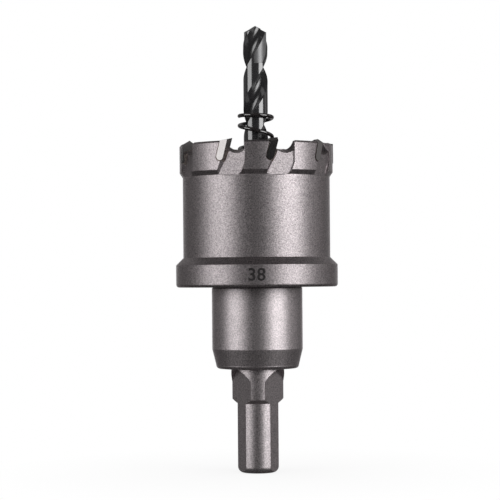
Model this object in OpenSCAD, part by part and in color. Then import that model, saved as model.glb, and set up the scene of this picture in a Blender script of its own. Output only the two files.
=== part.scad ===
// Carbide-tipped hole saw: a toothed cup on a hub with a three-flat shank,
// a pilot drill up the middle and a coil spring that pushes the cut slug out.
// Millimetres, +Z up, origin at the centre of the shank's end face.
// The side that faces -Y is the front, and a tooth's angle is counted from there.

/* [Cutting diameter and cup] */
// Diameter that the carbide tips cut
cutting_d = 38; // [34:0.5:60]
// How far the tips stand out past the steel rim
tip_side_proud = 0.25; // [0.15:0.05:0.5]
// How far the rim stands out past the cup's wall
rim_step = 0.75; // [0.4:0.05:1.2]
// Height of the sloping step between the wall and the rim
rim_step_h = 1.1; // [0.6:0.1:2]
// Height of the toothed rim, from its step to the tops of the teeth
rim_h = 8; // [7.5:0.1:12]
// Small bevel along the outer top edge of the teeth
rim_bevel = 0.45; // [0.1:0.05:0.6]
// Thickness of the cup's wall
wall = 1.8; // [1.4:0.1:2.4]
// Height of the cup, from under the flange to the tops of the teeth
cup_h = 34.8; // [28:0.2:60]
// Thickness of the cup's floor
floor_t = 5.6; // [4:0.2:9]
// Rounding where the inside of the wall meets the floor
floor_fillet = 1.2; // [0.5:0.1:2]

/* [Flange] */
// How far the flange stands out past the cup's wall
flange_overhang = 1.8; // [0.8:0.1:3]
// Height of the flange's upright face
flange_land = 5.4; // [3:0.2:8]
// Rounding of the flange's lower edge
flange_fillet = 0.75; // [0.3:0.05:1.5]

/* [Teeth] */
// Number of teeth
teeth = 9; // [6:1:11]
// Angle of the first tooth's leading edge
first_tooth = -62.7; // [-80:0.1:80]
// How far each tooth in turn is moved from an even pitch, in degrees, against chatter
tooth_shift = [-3.9, 2.1, -0.3, 1.4, -1.5, 2, -2.2, 1.2, 0.6];
// Width of a gullet at the tips
gullet_w = 3.95; // [3:0.05:4.5]
// Depth of a gullet at the outside of the rim
gullet_depth = 3.35; // [2.6:0.05:3.8]
// Radius of the gullet on the side of the next tooth
gullet_r = 2.95; // [2.6:0.05:3.6]
// Flatter radius of the gullet on the side of the carbide tip
gullet_toe_r = 3.2; // [2.9:0.1:7]
// Slope of the gullet's floor, down towards the outside
gullet_slope = 23.5; // [5:0.5:28]
// Angle of the next tooth's back wall against the radius
back_angle = 24.7; // [0:0.1:30]

/* [Chip grooves] */
// Width of the groove's flat floor at the gullet
groove_w = 4.6; // [3.8:0.1:5]
// How far the middle of the floor lies below the surface of the cup's wall
groove_sink = 0.12; // [0.06:0.01:0.4]
// How far the foot of the floor's edge lies behind the tip's leading edge
groove_back = 2.87; // [2:0.01:3.4]
// Lean of that edge, on the side of the tip
groove_lean = 26.3; // [20:0.1:32]
// Lean of the lower part of the other edge
groove_far_lean = 21.4; // [10:0.1:28]
// Height above the foot of the rim at which the other edge turns upright
groove_turn_h = 3.3; // [2:0.1:4]
// Flare of the groove's side wall next to the tip
groove_flare = 41; // [20:1:50]
// Flare of its other side wall
groove_far_flare = 14; // [5:1:30]
// How far the groove runs past the foot of the rim
groove_foot = 0.27; // [0.15:0.01:0.5]

/* [Carbide tips] */
// Thickness of a tip along the cut
tip_t = 1.8; // [1.4:0.05:2.2]
// Height of a tip
tip_h = 5.8; // [4.8:0.1:6.2]
// Forward lean of a tip
tip_lean = 15.5; // [5:0.5:18]
// How far a tip stands above the steel
tip_top_proud = 0.7; // [0.4:0.05:1.2]
// How far a tip stands out inside the cup
tip_inner_proud = 0.3; // [0.1:0.05:0.5]
// Relief of the tip's top, down towards the back
top_relief = 8; // [4:1:14]
// Relief of the tip's outer face
side_relief = 7; // [3:0.5:8]
// Bevel of the tips that are ground to a roof shape
roof_bevel = 29; // [15:1:35]
// Slope of the tips that are ground nearly flat
flat_bevel = 8; // [2:1:12]
// Thickness of the braze around a tip
braze_t = 0.2; // [0.1:0.01:0.25]
// Width of the bead of braze ahead of a tip, where it meets the groove
bead_w = 0.8; // [0.5:0.05:1]

/* [Arbor] */
// Diameter of the hub
hub_d = 22.2; // [20:0.1:26]
// Length of the hub
hub_h = 19.9; // [16:0.1:30]
// Diameter of the hub's narrow lower end
hub_foot_d = 20.3; // [18:0.1:20.5]
// Height over which the hub narrows
hub_taper_h = 4.8; // [3:0.1:7]
// Rounding of the hub's lower edge
hub_fillet = 0.9; // [0.3:0.1:1.5]
// Small bevel at the hub's upper edge, which shows as the seam under the cup
hub_bevel = 0.3; // [0.1:0.05:0.6]
// Diameter of the spigot that holds the cup
spigot_d = 16; // [12:0.5:18]
// Clearance of the spigot in the cup's floor
spigot_gap = 0.02; // [0.01:0.01:0.05]
// Diameter of the collar above the shank
collar_d = 13; // [12:0.1:15]
// Length of the collar
collar_h = 7.5; // [6.5:0.1:12]
// Diameter of the shank
shank_d = 10; // [9:0.1:11.5]
// Length of the shank
shank_h = 17; // [14:0.5:40]
// Height of the cone between the shank and the collar
shoulder_h = 1; // [0.5:0.1:2]
// Rounding of the shank's end
shank_round = 1.5; // [0.5:0.1:2]
// Distance of the three clamping flats from the axis
flat_dist = 4.58; // [4.2:0.02:4.9]
// Radius of the end mill that cut the flats, which leaves their rounded upper ends
flat_cutter_r = 4.9; // [4.7:0.1:6]
// Width of collar that it leaves under the hub
flat_stop = 0.1; // [0.05:0.05:1]

/* [Pilot drill] */
// Diameter of the pilot drill
drill_d = 6; // [5:0.1:7]
// Length of the drill above the tops of the steel teeth
drill_reach = 29.2; // [24:0.1:40]
// Length of the fluted part
flute_h = 31; // [20:0.1:34]
// Height that one turn of a flute takes
flute_pitch = 25; // [20:0.5:35]
// Angle of the drill's point
point_angle = 120; // [110:1:135]
// Thickness of the drill's core between the flutes
web_t = 1.5; // [1:0.1:2]
// Half of the angle that a flute takes up
flute_half = 46; // [38:1:50]
// Length of the upper part whose lands are ground back behind a narrow margin
relieved_h = 9.4; // [6:0.1:12]
// Depth by which those lands are ground back
land_relief = 0.28; // [0.1:0.02:0.4]
// Width of the margin, as an angle
margin_angle = 14; // [8:1:20]
// How deep the drill sits in the arbor
drill_seat_h = 24; // [18:0.5:24]
// Clearance of the drill in its bore
drill_gap = 0.03; // [0.01:0.01:0.1]
// Depth of the flat that the set screw bears on
drill_flat = 0.5; // [0.3:0.1:0.8]
// Length of that flat
drill_flat_h = 9; // [6:0.5:12]

/* [Ejector spring] */
// Outer diameter of the spring
spring_d = 9; // [8.5:0.1:12]
// Diameter of its wire
wire_d = 0.85; // [0.6:0.05:0.9]
// Free length of the spring
spring_h = 36.8; // [30:0.2:37]
// Distance between open turns
spring_pitch = 5.8; // [4:0.1:8]
// Turns over which each end closes
closing_turns = 1.2; // [1:0.1:1.6]
// Running clearance between the spring and the floor that it stands on
spring_seat_gap = 0.05; // [0.02:0.01:0.2]

/* [Set screw] */
// Diameter of the set screw
screw_d = 5; // [4:0.5:6]
// Clearance around the screw in its hole
screw_gap = 0.04; // [0.02:0.01:0.1]
// Height of the screw above the drill's foot
screw_z = 11; // [8:0.5:13]
// How far the screw's head lies below the hub's surface
screw_sunk = 0.6; // [0.3:0.1:1.5]
// Width across the flats of the socket
socket_w = 2.5; // [2:0.1:2.5]
// Depth of the socket
socket_depth = 3; // [2:0.1:3.5]

/* [Hidden] */
$fn = 96;

shoulder_z = shank_h + shoulder_h;
hub_z = shoulder_z + collar_h;
seat_z = hub_z + hub_h;
floor_z = seat_z + floor_t;
tooth_z = seat_z + cup_h;
rim_z = tooth_z - rim_h;
tip_z = tooth_z + tip_top_proud;

cutting_r = cutting_d / 2;
rim_r = cutting_r - tip_side_proud;
wall_r = rim_r - rim_step;
bore_r = wall_r - wall;
flange_r = wall_r + flange_overhang;
tip_inner_r = bore_r - tip_inner_proud;
tip_peak_r = (cutting_r + tip_inner_r) / 2;

// Angle between a tip's leading edge and the middle of the gullet ahead of it
half_gap = asin(gullet_w / 2 / cutting_r);
gullet_floor_z = tooth_z - gullet_depth;

drill_r = drill_d / 2;
drill_foot_z = floor_z - drill_seat_h;
drill_tip_z = tooth_z + drill_reach;
flute_z = drill_tip_z - flute_h;
point_slope = tan(point_angle / 2);
// How far below the drill's tip the two flutes face left and right
flute_aim_drop = 10.2;
flute_aim_z = drill_tip_z - flute_aim_drop;
// Height over which the flutes run out to nothing
runout_h = 4;
// Depth to which the fluted part sinks into the plain shank below it
fluted_foot_h = 0.7;
// Depth by which the point is ground away behind each cutting lip
lip_relief = 0.35;
// Radius of the round cutter that makes a flute, as a share of the drill's
flute_cut_share = 0.77;
flute_cut_r = flute_cut_share * drill_r;
flute_cut_dist = web_t / 2 + flute_cut_r;
// The lands are a hair under the shank's radius, so that the two merge cleanly
land_r = drill_r - 0.01;
// Angle over which a land's edge steps from one radius to the other
edge_angle = 0.6;
// Rings of points along the drill's body and its point
body_rings = 56;
point_rings = 12;

// Sideways shift of the gullet's flatter side, and its height over the round one
toe_shift = 0.25;
toe_lift = 0.02;
// Slope of the groove's short run-out at its foot
groove_runout = 35;
// Lean and height of the cut that rounds the groove's lower corner
groove_corner_lean = 52;
groove_corner_h = 0.6;
// Width of the bead of braze at its lower end, and its depth behind the groove's floor
bead_foot_w = 0.3;
bead_depth = 0.4;
// Point angle of the bore that takes the drill
bore_point_angle = 118;
// Bevels at the two ends of the set screw
screw_point = 0.8;
screw_bevel = 0.3;

// How far a cut runs past the surfaces that it opens
over = 4;
// Straight steps in a rounded corner and a tip's round foot
corner_steps = 8;
foot_steps = 12;
// The drill's section repeats after this angle
half_turn = 180;

// Points of an arc around a centre, from one angle to another
function arc(centre, r, from, to, steps) =
    [for (k = [0:steps]) let (a = from + (to - from) * k / steps) centre + r * [cos(a), sin(a)]];

function tooth_angle(i) =
    first_tooth + (i - 1) * 360 / teeth + tooth_shift[(i - 1) % len(tooth_shift)];

// Turns a piece drawn along +X to the leading edge of tooth i
module at_tooth(i) {
    rotate([0, 0, tooth_angle(i) - 90]) children();
}

// Extrudes an outline drawn across the cut and up, along the radius
module along_radius(from, to) {
    translate([from, 0, 0]) rotate([90, 0, 90]) linear_extrude(to - from) children();
}

// Turned blank of the cup: wall, rim and flange
module cup_blank() {
    corner = floor_z + floor_fillet;
    rotate_extrude()
        polygon(concat(
            [[0, seat_z]],
            arc([flange_r - flange_fillet, seat_z + flange_fillet], flange_fillet, -90, 0, corner_steps),
            [
                [flange_r, seat_z + flange_land],
                [wall_r, seat_z + flange_land + flange_overhang],
                [wall_r, rim_z],
                [rim_r, rim_z + rim_step_h],
                [rim_r, tooth_z - rim_bevel],
                [rim_r - rim_bevel, tooth_z],
                [bore_r, tooth_z]
            ],
            arc([bore_r - floor_fillet, corner], floor_fillet, 0, -90, corner_steps),
            [[0, floor_z]]
        ));
}

// Everything ahead of a tip's leading face, which leans forward, or ahead of a plane behind it
module ahead_of_tip(behind = 0) {
    rise = over + tip_top_proud;
    drop = rim_h + over;
    reach = 3 * gullet_w;
    along_radius(bore_r - over, cutting_r + over)
        polygon([
            [rise * tan(tip_lean) - behind, tip_z + rise],
            [-drop * tan(tip_lean) - behind, tip_z - drop],
            [reach, tip_z - drop],
            [reach, tip_z + rise]
        ]);
}

// Everything behind the back wall of the next tooth, seen from above
module behind_next_tooth() {
    slope = tan(back_angle);
    inner = bore_r - over;
    outer = rim_r + over;
    edge = gullet_w / 2;
    reach = 3 * gullet_w;
    translate([0, 0, rim_z - over])
        linear_extrude(rim_h + 2 * over)
            polygon([
                [inner, -reach],
                [outer, -reach],
                [outer, edge - over * slope],
                [inner, edge + (rim_r - inner) * slope]
            ]);
}

// Slot with a rounded floor that slopes down towards the outside
module gullet_slot() {
    length = rim_r - bore_r + 2 * over;
    translate([rim_r, 0, gullet_floor_z])
        rotate([0, gullet_slope, 0]) {
            translate([-length + over, 0, gullet_r])
                rotate([0, 90, 0]) cylinder(h = length, r = gullet_r);
            translate([-length + over, -gullet_r, gullet_r])
                cube([length, 2 * gullet_r, rim_h]);
            intersection() {
                translate([-length + over, -toe_shift, gullet_toe_r + toe_lift])
                    rotate([0, 90, 0]) cylinder(h = length, r = gullet_toe_r);
                translate([-length + over, -gullet_w, -1])
                    cube([length, gullet_w - toe_shift / 2, rim_h]);
            }
        }
}

// Everything on one side of a groove's flared side wall, which leans across the rim
module beside_wall(across, up, lean, side) {
    flare = tan(side > 0 ? groove_flare : groove_far_flare);
    inside = 1;
    reach = side * 3 * gullet_w;
    translate([wall_r - groove_sink, across, up])
        rotate([-lean, 0, 0])
            translate([0, 0, -rim_h])
                linear_extrude(3 * rim_h)
                    polygon([
                        [-inside, side * inside * flare],
                        [over, -side * over * flare],
                        [over, reach],
                        [-inside, reach]
                    ]);
}

// Slanted chip groove down the outside of the rim, with a flat floor that runs out at its foot
module chip_groove() {
    floor_r = wall_r - groove_sink;
    top_z = gullet_floor_z + 1;
    foot_z = rim_z - groove_foot + groove_sink / tan(groove_runout);
    out = cutting_r + over - floor_r;
    reach = 3 * gullet_w;
    far = (gullet_floor_z - rim_z) * tan(groove_lean) - groove_back + groove_w;
    corner = far - (groove_turn_h - groove_corner_h) * tan(groove_far_lean);
    intersection() {
        translate([floor_r, reach, 0])
            rotate([90, 0, 0])
                linear_extrude(2 * reach)
                    polygon([[0, foot_z], [out, foot_z - out / tan(groove_runout)], [out, top_z], [0, top_z]]);
        beside_wall(-groove_back, rim_z, groove_lean, 1);
        beside_wall(far, rim_z, 0, -1);
        beside_wall(far, rim_z + groove_turn_h, groove_far_lean, -1);
        beside_wall(corner, rim_z + groove_corner_h, groove_corner_lean, -1);
    }
}

// All that is cut away between the tip and the next tooth
module chip_space(i, behind = 0) {
    at_tooth(i) {
        intersection() {
            rotate([0, 0, half_gap]) gullet_slot();
            rotate([0, 0, half_gap]) behind_next_tooth();
            ahead_of_tip(behind);
        }
        intersection() {
            chip_groove();
            rotate([0, 0, half_gap]) behind_next_tooth();
        }
    }
}

// Bead of braze along the foot of a tip's leading face, before the chip space is cut
module bead() {
    lean = tan(tip_lean);
    top = gullet_floor_z + 1;
    foot = tip_z - tip_h;
    along_radius(wall_r - groove_sink - bead_depth, cutting_r + 1)
        polygon([
            [-(tip_z - top) * lean - braze_t, top],
            [-(tip_z - top) * lean + bead_w, top],
            [-(tip_z - foot) * lean + bead_foot_w, foot],
            [-(tip_z - foot) * lean - braze_t, foot]
        ]);
}

// Seat of a tip with its braze
module tip_pocket(i) {
    at_tooth(i) {
        along_radius(bore_r - 1, cutting_r + 1) tip_outline(braze_t);
        bead();
    }
}

// Side outline of a tip with its round foot, or of its pocket when grown
module tip_outline(grow = 0) {
    r = tip_t / 2;
    translate([0, tip_z])
        rotate(-tip_lean)
            polygon(concat(
                [[grow, over], [-tip_t - grow, over]],
                arc([-r, r - tip_h], r + grow, 180, 360, foot_steps)
            ));
}

// Ground top of a tip: a roof, a single outer bevel or nearly flat, in turn
module ground_top(i) {
    outer_slope = tan(i % 3 == 2 ? flat_bevel : roof_bevel);
    inner_slope = i % 3 == 1 ? tan(roof_bevel) : 0;
    peak_r = i % 3 == 2 ? tip_inner_r : tip_peak_r;
    outer_r = cutting_r + over;
    inner_r = tip_inner_r - over;
    translate([0, 0, tip_z])
        rotate([top_relief, 0, 0])
            translate([0, over, 0])
                rotate([90, 0, 0])
                    linear_extrude(over + 3 * tip_t)
                        polygon([
                            [inner_r, -tip_h - over],
                            [outer_r, -tip_h - over],
                            [outer_r, -(outer_r - peak_r) * outer_slope],
                            [peak_r, 0],
                            [inner_r, -(peak_r - inner_r) * inner_slope]
                        ]);
}

// Keeps what lies inside the tip's outer face, which falls back behind its leading edge
module inside_outer_face() {
    depth = cutting_r - tip_inner_r;
    translate([cutting_r, 0, tip_z - tip_h - over])
        rotate([0, 0, -side_relief])
            translate([-depth - over, -3 * tip_t, 0])
                cube([depth + over, 3 * tip_t + 1, tip_h + 2 * over]);
}

// Turned blank of the collar, hub and spigot, with the bore for the drill
module arbor_blank() {
    shank_r = shank_d / 2;
    foot_r = hub_foot_d / 2;
    hub_r = hub_d / 2;
    spigot_r = spigot_d / 2 - spigot_gap;
    bore = drill_r + drill_gap;
    bore_cone = bore / tan(bore_point_angle / 2);
    rotate_extrude()
        polygon(concat(
            [[0, 0]],
            arc([shank_r - shank_round, shank_round], shank_round, -90, 0, corner_steps),
            [
                [shank_r, shank_h],
                [collar_d / 2, shoulder_z],
                [collar_d / 2, hub_z]
            ],
            arc([foot_r - hub_fillet, hub_z + hub_fillet], hub_fillet, -90, 0, corner_steps),
            [
                [hub_r, hub_z + hub_taper_h],
                [hub_r, seat_z - hub_bevel],
                [hub_r - hub_bevel, seat_z],
                [spigot_r, seat_z],
                [spigot_r, floor_z],
                [bore, floor_z],
                [bore, drill_foot_z],
                [0, drill_foot_z - bore_cone]
            ]
        ));
}

// Milling cut of one clamping flat, with a rounded end where the cutter stopped under the hub
module flat_cut() {
    end_z = hub_z - flat_stop - flat_cutter_r;
    translate([flat_dist, 0, end_z])
        rotate([0, 90, 0]) cylinder(h = collar_d, r = flat_cutter_r);
    translate([flat_dist, -collar_d, -1])
        cube([collar_d, 2 * collar_d, end_z + 1]);
}

module arbor() {
    color("dimgray")
        difference() {
            arbor_blank();
            for (flat = [0:2]) rotate([0, 0, 90 + flat * 120]) flat_cut();
            translate([0, 0, drill_foot_z + screw_z])
                rotate([-90, 0, 0]) cylinder(h = hub_d, d = screw_d + 2 * screw_gap);
        }
}

module cutter_cup() {
    color("gray")
        difference() {
            cup_blank();
            translate([0, 0, seat_z - over]) cylinder(h = floor_t + 2 * over, d = spigot_d);
            for (i = [1:teeth]) {
                chip_space(i);
                tip_pocket(i);
            }
        }
}

module carbide_tip(i) {
    color(i % 2 == 0 ? "silver" : "darkgray")
        at_tooth(i)
            intersection() {
                along_radius(tip_inner_r, cutting_r + 1) tip_outline();
                ground_top(i);
                inside_outer_face();
            }
}

module braze_joint(i) {
    color("rosybrown")
        difference() {
            intersection() {
                cup_blank();
                tip_pocket(i);
            }
            at_tooth(i) along_radius(bore_r - over, cutting_r + over) tip_outline();
            chip_space(i, tip_t / 2);
        }
}

// Radius of the flute's floor at an angle from the middle of the flute
function flute_floor(a) =
    let (across = flute_cut_dist * sin(a), left = flute_cut_r * flute_cut_r - across * across)
    left > 0 ? min(flute_cut_dist * cos(a) - sqrt(left), land_r) : land_r;

// One half turn of the drill's section, as pairs of an angle and a share of the land's relief;
// a share of -1 marks the flute
flute_steps = 12;
land_steps = 5;
half_section = concat(
    [for (k = [0:flute_steps]) [flute_half * (2 * k / flute_steps - 1), -1]],
    [[flute_half + edge_angle, 1]],
    [for (k = [1:land_steps]) [flute_half + k * (half_turn - 2 * flute_half - margin_angle) / land_steps, 1]],
    [[half_turn - flute_half - margin_angle + edge_angle, 0], [half_turn - flute_half - edge_angle, 0]]
);

// Radius of the drill at an angle from a flute's middle, at height z
function drill_radius(section, z) =
    let (
        depth = z < flute_z + runout_h ? sin(90 * max(0, (z - flute_z) / runout_h)) : 1,
        relieved = z > drill_tip_z - relieved_h ? land_relief : 0,
        behind_lip = section[1] == -1 ? 0 : (half_turn - flute_half - section[0]) / (half_turn - 2 * flute_half),
        body = section[1] == -1
            ? land_r - depth * (land_r - flute_floor(section[0]))
            : land_r - section[1] * relieved,
        point = (drill_tip_z - z - lip_relief * behind_lip) * point_slope
    )
    max(0.03, min(body, point));

// Closed shell of rings that all have the same number of points
module rings_shell(rings) {
    n = len(rings[0]);
    last = len(rings) - 1;
    polyhedron(
        points = [for (ring = rings) for (p = ring) p],
        faces = concat(
            [[for (j = [0:n - 1]) j]],
            [[for (j = [n - 1:-1:0]) last * n + j]],
            [for (k = [0:last - 1]) for (j = [0:n - 1]) [k * n + j, (k + 1) * n + j, (k + 1) * n + (j + 1) % n]],
            [for (k = [0:last - 1]) for (j = [0:n - 1]) [k * n + j, (k + 1) * n + (j + 1) % n, k * n + (j + 1) % n]]
        )
    );
}

function drill_ring(z) =
    [
        for (half = [0, half_turn])
            for (s = half_section)
                let (a = s[0] + half + 360 * (z - flute_aim_z) / flute_pitch, r = drill_radius(s, z))
                [r * cos(a), r * sin(a), z]
    ];

// Fluted upper part of the drill, whose foot sinks into the plain shank
module fluted_part() {
    corner_z = drill_tip_z - drill_r / point_slope;
    foot_z = flute_z - fluted_foot_h;
    ground_z = drill_tip_z - relieved_h;
    lower = ground_z - foot_z;
    upper = corner_z - ground_z;
    lower_rings = round(body_rings * lower / (lower + upper));
    upper_rings = body_rings - lower_rings;
    rings_shell(concat(
        [for (k = [0:lower_rings]) drill_ring(foot_z + lower * k / lower_rings)],
        [for (k = [0:upper_rings]) drill_ring(ground_z + 0.02 + (upper - 0.02) * k / upper_rings)],
        [for (k = [1:point_rings]) drill_ring(corner_z + (drill_tip_z - corner_z) * k / point_rings)]
    ));
}

module pilot_drill() {
    flat_z = drill_foot_z + screw_z - drill_flat_h / 2;
    color([0.16, 0.16, 0.17]) {
        difference() {
            translate([0, 0, drill_foot_z]) cylinder(h = flute_z - drill_foot_z, r = drill_r);
            translate([-drill_r, drill_r - drill_flat, flat_z]) cube([drill_d, drill_r, drill_flat_h]);
        }
        fluted_part();
    }
}

// Set screw with a hexagon socket, which bears on the drill's flat from behind
module drill_set_screw() {
    tip_y = drill_r - drill_flat;
    length = hub_d / 2 - screw_sunk - tip_y;
    color([0.2, 0.2, 0.21])
        translate([0, tip_y, drill_foot_z + screw_z])
            rotate([-90, 0, 0])
                difference() {
                    rotate_extrude()
                        polygon([
                            [0, 0],
                            [screw_d / 2 - screw_point, 0],
                            [screw_d / 2, screw_point],
                            [screw_d / 2, length - screw_bevel],
                            [screw_d / 2 - screw_bevel, length],
                            [0, length]
                        ]);
                    translate([0, 0, length - socket_depth])
                        cylinder(h = socket_depth + 1, d = socket_w / cos(30), $fn = 6);
                }
}

// Descent of the coil after some turns from an end that closes gradually
function closing(turns) =
    let (t = min(1, turns / closing_turns))
    closing_turns * (t * t * t - t * t * t * t / 2) + max(0, turns - closing_turns);

spring_foot_z = floor_z + spring_seat_gap + wire_d / 2;
spring_top_z = floor_z + spring_h - wire_d / 2;
spring_turns = (spring_top_z - spring_foot_z) / spring_pitch + closing_turns;

function coil_z(turns) =
    turns < spring_turns / 2
        ? spring_top_z - spring_pitch * closing(turns)
        : spring_foot_z + spring_pitch * closing(spring_turns - turns);

// Left-hand coil, drawn downwards from its top end on the left
module ejector_spring() {
    coil_r = (spring_d - wire_d) / 2;
    steps = round(22 * spring_turns);
    sides = 8;
    color([0.14, 0.13, 0.13])
        rings_shell([
            for (k = [steps:-1:0])
                let (
                    turns = spring_turns * k / steps,
                    a = 180 + 360 * turns,
                    fall = (coil_z(turns - 0.01) - coil_z(turns + 0.01)) / 0.02 / (2 * PI * coil_r),
                    tilt = atan(fall),
                    out = [cos(a), sin(a), 0],
                    up = [-sin(a) * sin(tilt), cos(a) * sin(tilt), cos(tilt)]
                )
                [
                    for (j = [0:sides - 1])
                        let (b = -360 * j / sides)
                        coil_r * out + [0, 0, coil_z(turns)] + wire_d / 2 * (cos(b) * out + sin(b) * up)
                ]
        ]);
}

cutter_cup();
arbor();
pilot_drill();
drill_set_screw();
ejector_spring();
for (i = [1:teeth]) {
    carbide_tip(i);
    braze_joint(i);
}
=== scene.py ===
import math

import bmesh
import bpy
import numpy as np
from mathutils import Matrix, Vector


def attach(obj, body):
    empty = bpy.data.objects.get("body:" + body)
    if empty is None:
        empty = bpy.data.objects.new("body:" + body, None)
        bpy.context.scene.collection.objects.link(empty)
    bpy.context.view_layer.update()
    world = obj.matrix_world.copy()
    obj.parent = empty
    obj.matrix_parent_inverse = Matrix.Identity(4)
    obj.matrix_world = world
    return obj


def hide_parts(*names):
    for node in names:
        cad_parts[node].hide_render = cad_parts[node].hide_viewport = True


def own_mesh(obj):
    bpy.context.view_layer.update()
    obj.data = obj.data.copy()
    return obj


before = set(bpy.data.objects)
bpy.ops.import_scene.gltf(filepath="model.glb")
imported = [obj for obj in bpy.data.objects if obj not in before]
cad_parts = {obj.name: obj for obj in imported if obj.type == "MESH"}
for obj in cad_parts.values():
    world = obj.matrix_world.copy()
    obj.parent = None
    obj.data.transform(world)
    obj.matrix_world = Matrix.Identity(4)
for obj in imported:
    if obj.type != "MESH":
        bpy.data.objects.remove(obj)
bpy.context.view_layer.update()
scene = bpy.context.scene
MM = 0.001

# Sizes of the part in millimetres, as in its source but for the flutes' pitch and the wire
CUTTING_D = 38.0
FLANGE_R = 19.8
SEAT_Z = 45.4
FLOOR_Z = 51.0
DRILL_R = 3.0
DRILL_FOOT_Z = 27.0
SCREW_Z = 38.0
DRILL_TIP_Z = 109.4
FLUTE_Z = 78.4
FLUTE_PITCH = 28.0
SPRING_D = 9.0
WIRE_D = 0.96
SPRING_H = 36.8
SPRING_PITCH = 5.8
CLOSING_TURNS = 1.2
SPRING_SEAT_GAP = 0.05


# Nodes and materials

def new_material(name):
    mat = bpy.data.materials.new(name)
    mat.use_nodes = True
    mat.node_tree.nodes.clear()
    return mat, mat.node_tree


def add(tree, kind, values=None, **settings):
    n = tree.nodes.new(kind)
    for key, value in settings.items():
        setattr(n, key, value)
    for key, value in (values or {}).items():
        n.inputs[key].default_value = value
    return n


def noise(tree, coords, scale, detail=2.0, roughness=0.5):
    n = add(tree, "ShaderNodeTexNoise", {"Scale": scale, "Detail": detail, "Roughness": roughness})
    tree.links.new(coords, n.inputs["Vector"])
    return n.outputs["Fac"]


def ramp(tree, fac, low, high, colour_low, colour_high):
    n = add(tree, "ShaderNodeValToRGB")
    n.color_ramp.elements[0].position = low
    n.color_ramp.elements[1].position = high
    n.color_ramp.elements[0].color = (*colour_low, 1)
    n.color_ramp.elements[1].color = (*colour_high, 1)
    tree.links.new(fac, n.inputs["Fac"])
    return n.outputs["Color"]


def spread(tree, fac, low, high, to_low, to_high):
    limits = {"From Min": low, "From Max": high, "To Min": to_low, "To Max": to_high}
    n = add(tree, "ShaderNodeMapRange", limits)
    tree.links.new(fac, n.inputs["Value"])
    return n.outputs["Result"]


def mixed(tree, a, b, share):
    n = add(tree, "ShaderNodeMix", data_type="FLOAT")
    n.inputs["Factor"].default_value = share
    tree.links.new(a, n.inputs["A"])
    tree.links.new(b, n.inputs["B"])
    return n.outputs["Result"]


def mixed_shader(tree, share, a, b):
    n = add(tree, "ShaderNodeMixShader")
    for k, source in enumerate((share, a, b)):
        tree.links.new(source, n.inputs[k])
    return n.outputs[0]


# Share of the finer noise in a surface, and the part of its range that spans the roughness
FINE_SHARE = 0.45
ROUGH_FROM, ROUGH_TO = 0.3, 0.7


def surface(name, colours, grain, fine, bump, rough, metallic, ior=1.5, edge=0.0, contrast=0.15):
    """A grainy material: colour, roughness and height follow two scales of noise, in millimetres."""
    mat, tree = new_material(name)
    coords = add(tree, "ShaderNodeTexCoord").outputs["Object"]
    coarse = noise(tree, coords, 1 / (grain * MM), 3.0, 0.65)
    small = noise(tree, coords, 1 / (fine * MM), 2.0, 0.6)
    both = mixed(tree, coarse, small, FINE_SHARE)
    shader = add(tree, "ShaderNodeBsdfPrincipled", {"Metallic": metallic, "IOR": ior})
    colour = ramp(tree, both, 0.5 - contrast, 0.5 + contrast, *colours)
    tree.links.new(colour, shader.inputs["Base Color"])
    tree.links.new(spread(tree, small, ROUGH_FROM, ROUGH_TO, *rough), shader.inputs["Roughness"])
    height = add(tree, "ShaderNodeBump", {"Strength": 1.0, "Distance": bump * MM})
    tree.links.new(both, height.inputs["Height"])
    if edge:
        soft = add(tree, "ShaderNodeBevel", {"Radius": edge * MM}, samples=4)
        tree.links.new(soft.outputs["Normal"], height.inputs["Normal"])
    tree.links.new(height.outputs["Normal"], shader.inputs["Normal"])
    out = add(tree, "ShaderNodeOutputMaterial")
    tree.links.new(shader.outputs["BSDF"], out.inputs["Surface"])
    return mat


blasted_steel = surface(
    "blasted_steel",
    ((0.24, 0.218, 0.224), (0.64, 0.584, 0.597)),
    grain=0.3, fine=0.15, bump=0.022, rough=(0.39, 0.49), metallic=1.0, edge=0.14, contrast=0.09,
)
turned_steel = surface(
    "turned_steel",
    ((0.36, 0.33, 0.338), (0.78, 0.715, 0.73)),
    grain=0.3, fine=0.15, bump=0.018, rough=(0.39, 0.47), metallic=1.0, edge=0.08, contrast=0.09,
)
black_steel = surface(
    "black_steel",
    ((0.016, 0.016, 0.017), (0.024, 0.023, 0.024)),
    grain=0.5, fine=0.12, bump=0.002, rough=(0.11, 0.18), metallic=0.0, ior=2.0,
)
flute_steel = surface(
    "flute_steel",
    ((0.014, 0.014, 0.015), (0.021, 0.020, 0.021)),
    grain=0.5, fine=0.12, bump=0.002, rough=(0.2, 0.28), metallic=0.0, ior=1.9,
)
ground_steel = surface(
    "ground_steel",
    ((0.16, 0.16, 0.162), (0.23, 0.23, 0.232)),
    grain=0.3, fine=0.1, bump=0.004, rough=(0.36, 0.44), metallic=0.65,
)
spring_steel = surface(
    "spring_steel",
    ((0.010, 0.009, 0.009), (0.020, 0.017, 0.017)),
    grain=0.35, fine=0.1, bump=0.003, rough=(0.1, 0.17), metallic=0.0, ior=2.2,
)
screw_steel = surface(
    "screw_steel",
    ((0.022, 0.022, 0.024), (0.035, 0.034, 0.035)),
    grain=0.3, fine=0.1, bump=0.004, rough=(0.3, 0.42), metallic=0.0, ior=1.7,
)
carbide = surface(
    "carbide",
    ((0.215, 0.2055, 0.2035), (0.27, 0.258, 0.2555)),
    grain=0.3, fine=0.12, bump=0.002, rough=(0.15, 0.21), metallic=1.0, edge=0.04,
)
blasted_carbide = surface(
    "blasted_carbide",
    ((0.15, 0.144, 0.142), (0.23, 0.22, 0.217)),
    grain=0.3, fine=0.12, bump=0.006, rough=(0.4, 0.5), metallic=0.8, edge=0.04,
)
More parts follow.
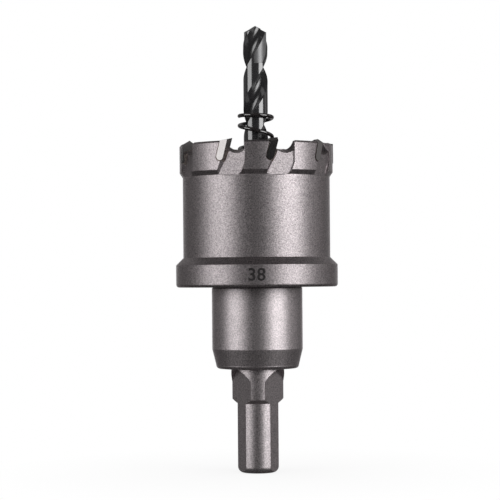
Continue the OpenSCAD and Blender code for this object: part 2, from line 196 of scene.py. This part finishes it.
braze = surface(
    "braze",
    ((0.05, 0.037, 0.031), (0.11, 0.078, 0.065)),
    grain=0.3, fine=0.12, bump=0.02, rough=(0.32, 0.45), metallic=1.0,
)
braze_bead = surface(
    "braze_bead",
    ((0.018, 0.0145, 0.013), (0.14, 0.114, 0.103)),
    grain=0.35, fine=0.12, bump=0.03, rough=(0.4, 0.55), metallic=0.3, contrast=0.1,
)
mark_ink = surface(
    "mark_ink",
    ((0.010, 0.009, 0.009), (0.028, 0.024, 0.025)),
    grain=0.3, fine=0.12, bump=0.006, rough=(0.5, 0.62), metallic=0.4,
)

# Least cosine between the way ahead and the normal of a leading face
LOOKS_AHEAD = 0.6


def dress(obj, mat, leading=None):
    """Gives a node its material, and a second one to the faces that look ahead along the cut."""
    obj.data.materials.clear()
    obj.data.materials.append(mat)
    if leading:
        obj.data.materials.append(leading)
        place = obj.matrix_world
        corners = [place @ v.co for v in obj.data.vertices]
        centre = sum(corners, Vector()) / len(corners)
        ahead = Vector((-centre.y, centre.x, 0)).normalized()
        for face in obj.data.polygons:
            if (place.to_3x3() @ face.normal).dot(ahead) > LOOKS_AHEAD:
                face.material_index = 1


NODE_MATERIALS = {
    "cutter_cup": (blasted_steel,),
    "arbor": (turned_steel,),
    "pilot_drill": (black_steel,),
    "drill_set_screw": (screw_steel,),
    "ejector_spring": (spring_steel,),
    "carbide_tip": (carbide, blasted_carbide),
    "braze_joint": (braze, braze_bead),
}

for name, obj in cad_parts.items():
    dress(obj, *NODE_MATERIALS[name.rstrip("_0123456789")])


# Meshes

def mesh_object(name, points, faces, mat, body, smooth_angle):
    mesh = bpy.data.meshes.new(name)
    mesh.from_pydata([tuple(p) for p in points], [], faces)
    mesh.materials.append(mat)
    obj = bpy.data.objects.new(name, mesh)
    scene.collection.objects.link(obj)
    mesh.polygons.foreach_set("use_smooth", [True] * len(mesh.polygons))
    mesh.set_sharp_from_angle(angle=math.radians(smooth_angle))
    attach(obj, body)
    return obj


def ring_faces(rings, n, split=False):
    """Faces of a closed skin over rings of n points, capped at both ends; split gives triangles."""
    faces = [list(range(n))[::-1], [(rings - 1) * n + j for j in range(n)]]
    for k in range(rings - 1):
        for j in range(n):
            a, b = k * n + j, k * n + (j + 1) % n
            faces += [[a, b, a + n], [b, b + n, a + n]] if split else [[a, b, b + n, a + n]]
    return faces


# Ejector spring: a smooth left-hand coil with closed ends

WIRE_SIDES = 20
RINGS_PER_TURN = 72
WIRE_CHAMFER = 0.08
SPRING_START = 180


def closing(turns):
    """Pitches climbed over so many turns from an end: none at first, then one a turn."""
    t = min(1.0, turns / CLOSING_TURNS)
    return CLOSING_TURNS * (t ** 3 - t ** 4 / 2) + max(0.0, turns - CLOSING_TURNS)


def make_spring():
    foot = FLOOR_Z + SPRING_SEAT_GAP + WIRE_D / 2
    top = FLOOR_Z + SPRING_H - WIRE_D / 2
    total = (top - foot) / SPRING_PITCH + CLOSING_TURNS
    coil_r = (SPRING_D - WIRE_D) / 2
    wire_r, end_r = WIRE_D / 2, WIRE_D / 2 - WIRE_CHAMFER

    def height(turns):
        if turns < total / 2:
            return top - SPRING_PITCH * closing(turns)
        return foot + SPRING_PITCH * closing(total - turns)

    steps = round(RINGS_PER_TURN * total)
    near = 0.01
    points = []
    for k in range(steps, -1, -1):
        turns = total * k / steps
        a = math.radians(SPRING_START + 360 * turns)
        fall = (height(turns - near) - height(turns + near)) / (2 * near)
        tilt = math.atan(fall / (2 * math.pi * coil_r))
        out = Vector((math.cos(a), math.sin(a), 0))
        up = Vector((-math.sin(a) * math.sin(tilt), math.cos(a) * math.sin(tilt), math.cos(tilt)))
        centre = coil_r * out + Vector((0, 0, height(turns)))
        for r in {steps: (end_r, wire_r), 0: (wire_r, end_r)}.get(k, (wire_r,)):
            for j in range(WIRE_SIDES):
                b = -2 * math.pi * j / WIRE_SIDES
                points.append(MM * (centre + r * (math.cos(b) * out + math.sin(b) * up)))
    faces = ring_faces(len(points) // WIRE_SIDES, WIRE_SIDES)
    obj = mesh_object("spring_wire", points, faces, spring_steel, "saw", smooth_angle=50)
    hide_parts("ejector_spring")
    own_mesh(obj)


make_spring()


# Pilot drill: two right-hand flutes with margins, and a point ground back behind its lips

WEB_T = 1.5
FLUTE_CUT_R = 0.77 * DRILL_R
FLUTE_CUT_DIST = WEB_T / 2 + FLUTE_CUT_R
FLUTE_AIM_Z = DRILL_TIP_Z - 10.1
TWIST_FROM_Z = FLUTE_Z - 0.5
RUNOUT_H = 4.0
POINT_SLOPE = math.tan(math.radians(62))
POINT_END_R = 0.02
LIP_RELIEF = 0.22
LAND_RELIEF = 0.28
RELIEVED_FROM_Z = DRILL_TIP_Z - 9.4
FOOT_CHAMFER = 0.3
FLAT_LO, FLAT_HI = SCREW_Z - 4.5, SCREW_Z + 4.5
FLAT_DEPTH = 0.5

# Angles of the section: half a flute, the margin, and the gap between columns at an edge
FLUTE_HALF = 46.0
MARGIN = 14.0
EDGE_GAP = 0.5
FLUTE_STEPS, LAND_STEPS, MARGIN_STEPS = 36, 44, 5

# Each relieved land starts at an upright edge, at this angle from +X
RELIEF_FROM = 84.0
ROUNDING = 1e-6

# Heights of the rings: a plain one on the body, their spacing, the two ends of a step,
# and the last even ring and the first ring of the point, both below its corner
BODY_RING_Z = 70.0
RING_GAP = 0.16
FLAT_STEP, GROUND_STEP = 0.01, 0.02
EVEN_END, POINT_START = 0.4, 0.38
POINT_RINGS = 44


def flute_floor(a):
    across = FLUTE_CUT_DIST * math.sin(math.radians(a))
    left = FLUTE_CUT_R ** 2 - across ** 2
    if left <= 0:
        return DRILL_R
    return min(FLUTE_CUT_DIST * math.cos(math.radians(a)) - math.sqrt(left), DRILL_R)


def drill_section():
    """Half of the section: the angle of each column from the flute's middle, and what it lies on."""
    heel = FLUTE_HALF
    margin = 180 - FLUTE_HALF - MARGIN
    lead = margin + EDGE_GAP
    rows = [(FLUTE_HALF * (2 * k / FLUTE_STEPS - 1), "flute") for k in range(FLUTE_STEPS + 1)]
    rows += [(heel + EDGE_GAP, "land")]
    rows += [(heel + (margin - heel) * k / LAND_STEPS, "land") for k in range(1, LAND_STEPS + 1)]
    width = MARGIN - 2 * EDGE_GAP
    rows += [(lead + width * k / MARGIN_STEPS, "margin") for k in range(MARGIN_STEPS + 1)]
    return rows


def drill_levels(section):
    """Heights of the rings, with those where the land's columns cross its upright edge."""
    corner = DRILL_TIP_Z - DRILL_R / POINT_SLOPE
    levels = [DRILL_FOOT_Z, DRILL_FOOT_Z + FOOT_CHAMFER]
    levels += [FLAT_LO, FLAT_LO + FLAT_STEP, FLAT_HI, FLAT_HI + FLAT_STEP, SEAT_Z, BODY_RING_Z]
    levels += list(np.arange(TWIST_FROM_Z, RELIEVED_FROM_Z, RING_GAP))
    levels += [RELIEVED_FROM_Z, RELIEVED_FROM_Z + GROUND_STEP]
    land = [a for a, kind in section if kind == "land"]
    edge = sorted(FLUTE_AIM_Z + (RELIEF_FROM - a) * FLUTE_PITCH / 360 for a in land)
    levels += [z for z in edge if z > RELIEVED_FROM_Z + 3 * GROUND_STEP]
    levels += list(np.arange(levels[-1] + RING_GAP, corner - EVEN_END, RING_GAP))
    levels += list(np.linspace(corner - POINT_START, DRILL_TIP_Z, POINT_RINGS))
    return levels


def drill_twist(z):
    return 360 * (max(z, TWIST_FROM_Z) - FLUTE_AIM_Z) / FLUTE_PITCH


def is_relieved(a, kind, z):
    past_edge = a + drill_twist(z) > RELIEF_FROM + ROUNDING
    return kind == "land" and z > RELIEVED_FROM_Z and past_edge


def drill_radius(a, kind, z):
    behind = 0.0
    if kind == "flute":
        depth = 1.0
        if z < FLUTE_Z + RUNOUT_H:
            depth = math.sin(math.radians(90 * max(0.0, (z - FLUTE_Z) / RUNOUT_H)))
        body = DRILL_R - depth * (DRILL_R - flute_floor(a))
    else:
        body = DRILL_R - (LAND_RELIEF if is_relieved(a, kind, z) else 0.0)
        behind = (180 - FLUTE_HALF - a) / (180 - 2 * FLUTE_HALF)
    point = (DRILL_TIP_Z - z - LIP_RELIEF * behind) * POINT_SLOPE
    return max(POINT_END_R, min(body, point))


def make_drill():
    section = drill_section()
    levels = drill_levels(section)
    points = []
    for z in levels:
        twist = drill_twist(z)
        for half in (0, 180):
            for a, kind in section:
                t = math.radians(a + half + twist)
                r = drill_radius(a, kind, z)
                if z == DRILL_FOOT_Z:
                    r -= FOOT_CHAMFER
                x, y = r * math.cos(t), r * math.sin(t)
                if FLAT_LO < z <= FLAT_HI:
                    y = min(y, DRILL_R - FLAT_DEPTH)
                points.append((x * MM, y * MM, z * MM))
    around = section * 2
    n = len(around)
    faces = ring_faces(len(levels), n, split=True)
    obj = mesh_object("drill_bit", points, faces, black_steel, "saw", smooth_angle=28)
    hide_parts("pilot_drill")
    obj.data.materials.append(ground_steel)
    obj.data.materials.append(flute_steel)
    for face in obj.data.polygons:
        spots = [(*around[v % n], levels[v // n]) for v in face.vertices]
        if all(is_relieved(*spot) for spot in spots):
            face.material_index = 1
        elif all(kind == "flute" and z > FLUTE_Z for a, kind, z in spots):
            face.material_index = 2


make_drill()


# Plain number of the cutting diameter, laid on the flange's upright face

MARK_H = 3.06
MARK_MIDDLE_Z = SEAT_Z + 3.05
MARK_SPACING = 1.06
MARK_WEIGHT = 0.018
MARK_STRIP = 0.25
MARK_PROUD, MARK_SUNK = 0.02, 0.03


def make_mark():
    curve = bpy.data.curves.new("mark_text", "FONT")
    curve.body = f"{CUTTING_D:.0f}"
    curve.size = 1.0
    curve.space_character = MARK_SPACING
    curve.offset = MARK_WEIGHT
    text = bpy.data.objects.new("mark_text", curve)
    scene.collection.objects.link(text)
    bpy.context.view_layer.update()
    shaped = text.evaluated_get(bpy.context.evaluated_depsgraph_get())
    mesh = bpy.data.meshes.new_from_object(shaped)
    bpy.data.objects.remove(text)
    bm = bmesh.new()
    bm.from_mesh(mesh)
    bmesh.ops.remove_doubles(bm, verts=bm.verts, dist=1e-5)
    co = np.array([v.co for v in bm.verts])
    lo, hi = co.min(0), co.max(0)
    k = MARK_H * MM / (hi[1] - lo[1])
    for v in bm.verts:
        v.co = Vector(((v.co.x - (lo[0] + hi[0]) / 2) * k, (v.co.y - (lo[1] + hi[1]) / 2) * k, 0))
    half = (hi[0] - lo[0]) / 2 * k
    # Upright cuts, so that the digits can bend around the flange
    for x in np.arange(-half, half, MARK_STRIP * MM)[1:]:
        bmesh.ops.bisect_plane(
            bm, geom=bm.verts[:] + bm.edges[:] + bm.faces[:],
            plane_co=(float(x), 0, 0), plane_no=(1, 0, 0), dist=1e-8,
        )
    grown = bmesh.ops.extrude_face_region(bm, geom=bm.faces[:])
    for v in [g for g in grown["geom"] if isinstance(g, bmesh.types.BMVert)]:
        v.co.z = 1.0
    radius = FLANGE_R * MM
    middle = MARK_MIDDLE_Z * MM
    for v in bm.verts:
        r = radius + (MARK_PROUD * MM if v.co.z > 0.5 else -MARK_SUNK * MM)
        a = v.co.x / radius
        v.co = Vector((r * math.sin(a), -r * math.cos(a), middle + v.co.y))
    bmesh.ops.recalc_face_normals(bm, faces=bm.faces[:])
    bm.to_mesh(mesh)
    bm.free()
    mesh.name = "size_mark"
    mesh.materials.clear()
    mesh.materials.append(mark_ink)
    obj = bpy.data.objects.new("size_mark", mesh)
    scene.collection.objects.link(obj)
    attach(obj, "saw")


make_mark()


# Camera, in front of the flange and rolled a little off upright

CAMERA_PLACE = (0, -0.4706, 0.0476)
CAMERA_ROLL = -0.45

cam = bpy.data.cameras.new("camera")
cam.lens = 138.2
cam.sensor_width = 36
cam.shift_x = -0.014
cam.shift_y = 0.056
cam.clip_start = 0.01
cam_obj = bpy.data.objects.new("camera", cam)
scene.collection.objects.link(cam_obj)
level = Matrix.Rotation(math.radians(90), 4, "X")
roll = Matrix.Rotation(math.radians(CAMERA_ROLL), 4, "Z")
cam_obj.matrix_world = Matrix.Translation(CAMERA_PLACE) @ level @ roll
scene.camera = cam_obj


# Surroundings: white to the camera, two broad soft lights, and a dark room for the steel to reflect

WHITE = (1, 1, 1, 1)
FILL_STRENGTH = 0.8


def seen_rays(tree):
    """1 for the rays of the camera, of reflections and of transmission, or else 0."""
    path = add(tree, "ShaderNodeLightPath")
    total = path.outputs["Is Camera Ray"]
    for other in ("Is Glossy Ray", "Is Transmission Ray"):
        n = add(tree, "ShaderNodeMath", operation="MAXIMUM")
        tree.links.new(total, n.inputs[0])
        tree.links.new(path.outputs[other], n.inputs[1])
        total = n.outputs["Value"]
    return total


world = bpy.data.worlds.new("studio")
scene.world = world
world.use_nodes = True
tree = world.node_tree
tree.nodes.clear()
fill = add(tree, "ShaderNodeBackground", {"Color": WHITE, "Strength": FILL_STRENGTH})
white = add(tree, "ShaderNodeBackground", {"Color": WHITE, "Strength": 1.0})
sky = mixed_shader(tree, seen_rays(tree), fill.outputs[0], white.outputs[0])
tree.links.new(sky, add(tree, "ShaderNodeOutputWorld").inputs["Surface"])


def soft_light(name, azimuth, width, height, distance, centre_z, radiance):
    """A rectangular light that faces the axis; its azimuth counts from the camera to the right."""
    light = bpy.data.lights.new(name, "AREA")
    light.shape = "RECTANGLE"
    light.size = width
    light.size_y = height
    light.energy = radiance * math.pi * width * height
    obj = bpy.data.objects.new(name, light)
    a = math.radians(azimuth)
    place = Vector((distance * math.sin(a), -distance * math.cos(a), centre_z))
    obj.location = place
    obj.rotation_euler = (Vector((0, 0, centre_z)) - place).to_track_quat("-Z", "Y").to_euler()
    scene.collection.objects.link(obj)


soft_light(
    "left_light", azimuth=-57.5, width=1.8, height=1.2, distance=2.4, centre_z=0.58, radiance=3.1,
)
soft_light(
    "right_light", azimuth=53, width=1.75, height=1.2, distance=2.4, centre_z=0.58, radiance=4.65,
)


def stage_object(name, points, faces, mat):
    mesh = bpy.data.meshes.new(name)
    mesh.from_pydata(points, [], faces)
    mesh.materials.append(mat)
    obj = bpy.data.objects.new(name, mesh)
    scene.collection.objects.link(obj)
    return obj


FLOOR_R = 3
FLOOR_SIDES = 64
FLOOR_GREY = 0.86
# The floor's share of pure white, from the nearer to the farther of two distances from the axis
SHADE_FROM, SHADE_TO = 0.01, 0.07
SHADE_NEAR, SHADE_FAR = 0.84, 1.0


def make_floor():
    """A white floor that keeps the shadow and is clear from below, for a low camera."""
    mat, tree = new_material("pale_floor")
    coords = add(tree, "ShaderNodeTexCoord").outputs["Object"]
    length = add(tree, "ShaderNodeVectorMath", operation="LENGTH")
    tree.links.new(coords, length.inputs[0])
    far = length.outputs["Value"]
    share = spread(tree, far, SHADE_FROM, SHADE_TO, SHADE_NEAR, SHADE_FAR)
    product = add(tree, "ShaderNodeMath", operation="MULTIPLY")
    tree.links.new(seen_rays(tree), product.inputs[0])
    tree.links.new(share, product.inputs[1])
    diffuse = add(tree, "ShaderNodeBsdfDiffuse", {"Color": (FLOOR_GREY, FLOOR_GREY, FLOOR_GREY, 1)})
    glow = add(tree, "ShaderNodeEmission", {"Color": WHITE, "Strength": 1.0})
    clear = add(tree, "ShaderNodeBsdfTransparent")
    below = add(tree, "ShaderNodeNewGeometry").outputs["Backfacing"]
    pale = mixed_shader(tree, product.outputs[0], diffuse.outputs[0], glow.outputs[0])
    both = mixed_shader(tree, below, pale, clear.outputs[0])
    tree.links.new(both, add(tree, "ShaderNodeOutputMaterial").inputs["Surface"])
    turns = [2 * math.pi * k / FLOOR_SIDES for k in range(FLOOR_SIDES)]
    rim = [(FLOOR_R * math.cos(a), FLOOR_R * math.sin(a), 0) for a in turns]
    floor = stage_object("floor", rim, [list(range(FLOOR_SIDES))], mat)
    floor.visible_glossy = False
    floor.visible_shadow = False


# The room's cards: their strengths and their colour
CARDS = {
    "dark_card": 0.018,
    "side_card": 0.15,
    "right_card": 0.48,
    "under_card": 0.05,
    "low_card": 0.01,
    "back_card": 0.07,
    "glow_card": 0.3,
    "high_card": 0.25,
    "top_card": 0.12,
}
CARD_COLOUR = (1, 0.98, 0.98, 1)

# Radius and height of the room's rings, from the middle of the bottom to the middle of the top,
# and the first five of the six bands between them; the sixth is the top's middle
ROOM_RINGS = (
    (0.001, -0.3), (0.6, -0.3), (3.2, -0.3), (3.2, 0.6), (3.2, 3.2), (1.0, 3.2), (0.001, 3.2),
)
ROOM_SIDES = 72
BOTTOM_MIDDLE, BOTTOM, LOW_WALL, HIGH_WALL, TOP = range(5)

# Azimuths where one card ends and the next begins, counted from the camera
SIDE_FROM, RIGHT_TO = 95, 110
BACK_FROM, HIGH_FROM = 115, 130
GLOW_FROM, OPEN_FROM = 148, 154


def card_at(band, azimuth):
    """Name of the card in one place of the room, or None where it is open behind the object."""
    away = abs(azimuth)
    if band == BOTTOM_MIDDLE:
        return "under_card"
    if band == BOTTOM:
        return "glow_card" if away > GLOW_FROM else "back_card" if away > BACK_FROM else "low_card"
    if band in (LOW_WALL, HIGH_WALL) and SIDE_FROM < azimuth < RIGHT_TO:
        return "right_card"
    if band == LOW_WALL:
        return None if away > OPEN_FROM else "side_card" if away > SIDE_FROM else "dark_card"
    if band == HIGH_WALL and away > HIGH_FROM:
        return "high_card"
    if band == TOP and away > BACK_FROM:
        return "top_card"
    return "dark_card"


def make_dark_room():
    """Dark walls, top and bottom that only reflections show."""
    names = list(CARDS)
    mats = []
    for name in names:
        mat, tree = new_material(name)
        glow = add(tree, "ShaderNodeEmission", {"Color": CARD_COLOUR, "Strength": CARDS[name]})
        tree.links.new(glow.outputs[0], add(tree, "ShaderNodeOutputMaterial").inputs["Surface"])
        mats.append(mat)
    n = ROOM_SIDES
    angles = [math.radians(360 * k / n - 180) for k in range(n)]
    points = [(r * math.sin(a), -r * math.cos(a), z) for r, z in ROOM_RINGS for a in angles]
    faces, kinds = [], []
    for band in range(len(ROOM_RINGS) - 1):
        for j in range(n):
            card = card_at(band, 360 * (j + 0.5) / n - 180)
            if card:
                k, m = band * n + j, band * n + (j + 1) % n
                faces.append([k, m, m + n, k + n])
                kinds.append(names.index(card))
    room = stage_object("dark_cards", points, faces, mats[0])
    for mat in mats[1:]:
        room.data.materials.append(mat)
    room.data.polygons.foreach_set("material_index", kinds)
    room.visible_camera = False
    room.visible_diffuse = False
    room.visible_shadow = False
    room.visible_transmission = False


make_floor()
make_dark_room()

scene.view_settings.view_transform = "Standard"
